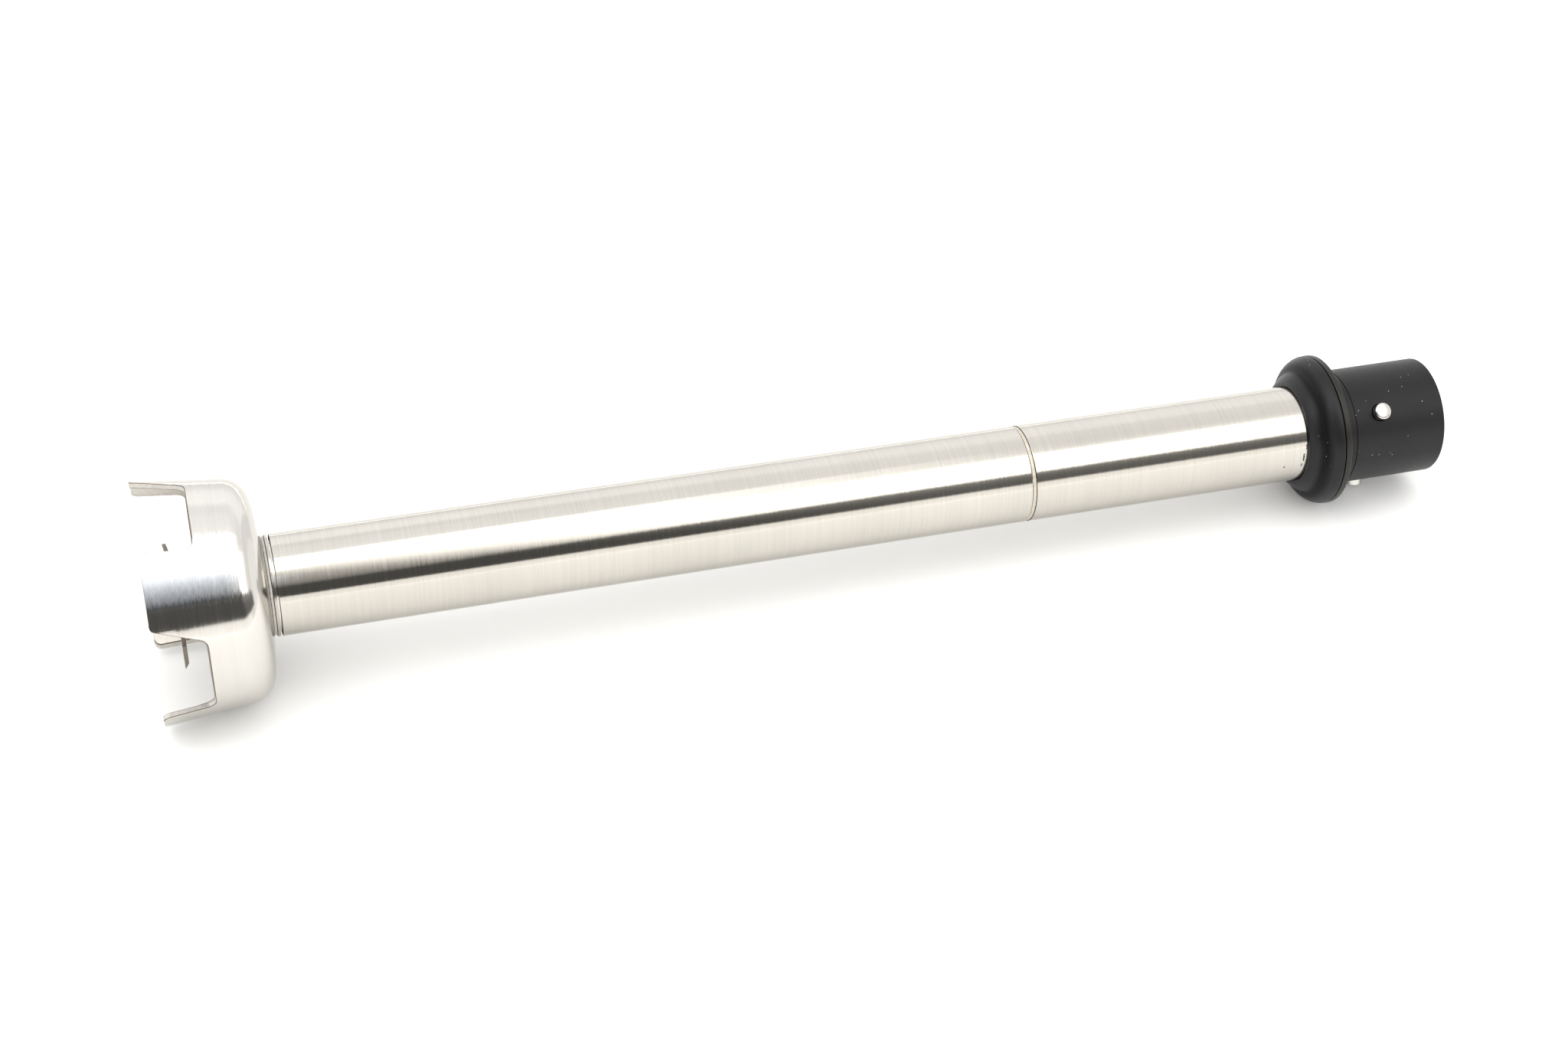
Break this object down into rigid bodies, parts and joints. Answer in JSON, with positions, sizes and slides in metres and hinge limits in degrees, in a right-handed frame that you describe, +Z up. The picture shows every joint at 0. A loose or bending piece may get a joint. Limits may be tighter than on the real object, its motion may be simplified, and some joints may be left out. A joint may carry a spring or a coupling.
{
  "type": "immersion blender foot",
  "caption": "Blending foot of a commercial immersion blender: castellated steel bell with a blade, long steel tube, rubber boot and bayonet coupling sleeve",
  "frame": {"origin": "middle of the bounding box, on the floor under the part as it lies", "axes": "+X runs along the tube from the bell towards the coupling, and dips 1.7 degrees because the bell is wider than the flange; +Z is up"},
  "size_m": [0.431, 0.0726, 0.0726],
  "materials": {
    "brushed_steel": "fine turned grain round the axis, satin",
    "polished_steel": "turned and polished",
    "blade_steel": "hardened, dark brown-grey",
    "black_rubber": "matte moulded",
    "black_plastic": "matte, finely turned",
    "disc_plastic": "smooth, warm grey",
    "bronze": "sintered bronze",
    "white_ptfe": "smooth white"
  },
  "bodies": {
    "foot": {"bell_guard": "brushed_steel", "bell_lock_ring": "brushed_steel", "lower_tube": "brushed_steel", "upper_tube": "brushed_steel", "tube_joint_ring": "brushed_steel", "rubber_boot": "black_rubber", "flange_disc": "disc_plastic", "coupling_sleeve": "black_plastic", "coupling_core": "brushed_steel", "bayonet_pin_1": "polished_steel", "bayonet_pin_2": "polished_steel", "bayonet_pin_3": "polished_steel", "lip_seal": "black_rubber", "garter_spring": "polished_steel", "bell_o_ring": "black_rubber", "front_bush": "bronze", "shaft_bush_1": "white_ptfe", "shaft_bush_2": "white_ptfe", "shaft_bush_3": "white_ptfe", "lower_bearing_outer": "polished_steel", "upper_bearing_outer": "polished_steel", "lower_circlip": "polished_steel", "upper_circlip": "polished_steel"},
    "rotor": {"drive_shaft": "polished_steel", "blade": "blade_steel", "blade_collar": "polished_steel", "blade_washer": "polished_steel", "blade_nut": "polished_steel", "lower_bearing_inner": "polished_steel", "upper_bearing_inner": "polished_steel", "drive_coupler": "polished_steel", "coupler_pin": "polished_steel"},
    "lower_cage": {"lower_bearing_cage": "bronze"},
    "upper_cage": {"upper_bearing_cage": "bronze"}
  },
  "joints": [
    {"name": "rotor_spin", "type": "hinge", "parent": "foot", "child": "rotor", "pos_m": [-0.17556, 0, 0.03564], "axis": [0.9996, 0, -0.029], "continuous": true},
    {"name": "lower_cage_spin", "type": "hinge", "parent": "foot", "child": "lower_cage", "pos_m": [-0.17556, 0, 0.03564], "axis": [0.9996, 0, -0.029], "continuous": true},
    {"name": "upper_cage_spin", "type": "hinge", "parent": "foot", "child": "upper_cage", "pos_m": [-0.17556, 0, 0.03564], "axis": [0.9996, 0, -0.029], "continuous": true}
  ],
  "couplings": [
    {"joint": "lower_cage_spin", "follows": "rotor_spin", "ratio": 0.378},
    {"joint": "upper_cage_spin", "follows": "rotor_spin", "ratio": 0.378}
  ]
}
